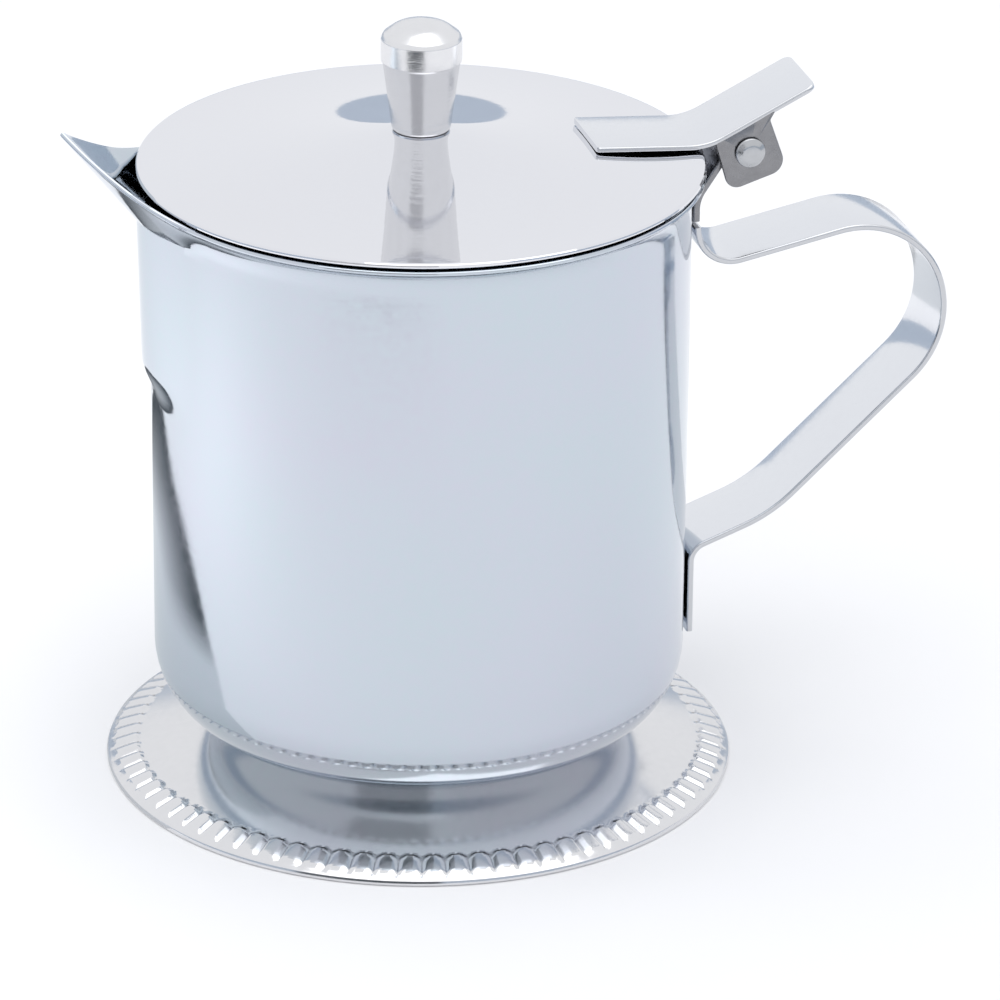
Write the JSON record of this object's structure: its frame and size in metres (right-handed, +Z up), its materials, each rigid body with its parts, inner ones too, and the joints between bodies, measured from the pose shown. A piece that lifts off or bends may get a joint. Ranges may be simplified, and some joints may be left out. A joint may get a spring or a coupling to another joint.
{
  "type": "hinged-lid creamer",
  "caption": "Stainless steel creamer with a hinged lid, thumb lever, turned knob, V beak, strap handle and flared fluted foot.",
  "frame": {"origin": "on the table, under the middle of the bounding box; the cup's axis is 12.3 mm along -X from it", "axes": "+Z up, +X towards the handle, -X towards the spout, Y along the hinge pin"},
  "size_m": [0.1258, 0.089, 0.1104],
  "materials": {
    "satin_steel": "fine satin, nearly polished",
    "mirror_steel": "mirror polished stainless steel",
    "strap_steel": "polished strip with faint scratches",
    "turned_steel": "lathe turned, with fine rings",
    "hinge_steel": "tumbled, dull"
  },
  "bodies": {
    "pot": {"cup": "satin_steel", "foot": "mirror_steel", "handle": "strap_steel", "hinge_bracket": "hinge_steel", "hinge_pin": "hinge_steel"},
    "lid": {"lid": "mirror_steel", "thumb_lever": "strap_steel", "knob": "turned_steel", "knob_screw": "hinge_steel"}
  },
  "joints": [
    {"name": "lid_hinge", "type": "hinge", "parent": "pot", "child": "lid", "pos_m": [0.03312, 0, 0.0892], "axis": [0, 1, 0], "range_deg": [0, 110]}
  ]
}
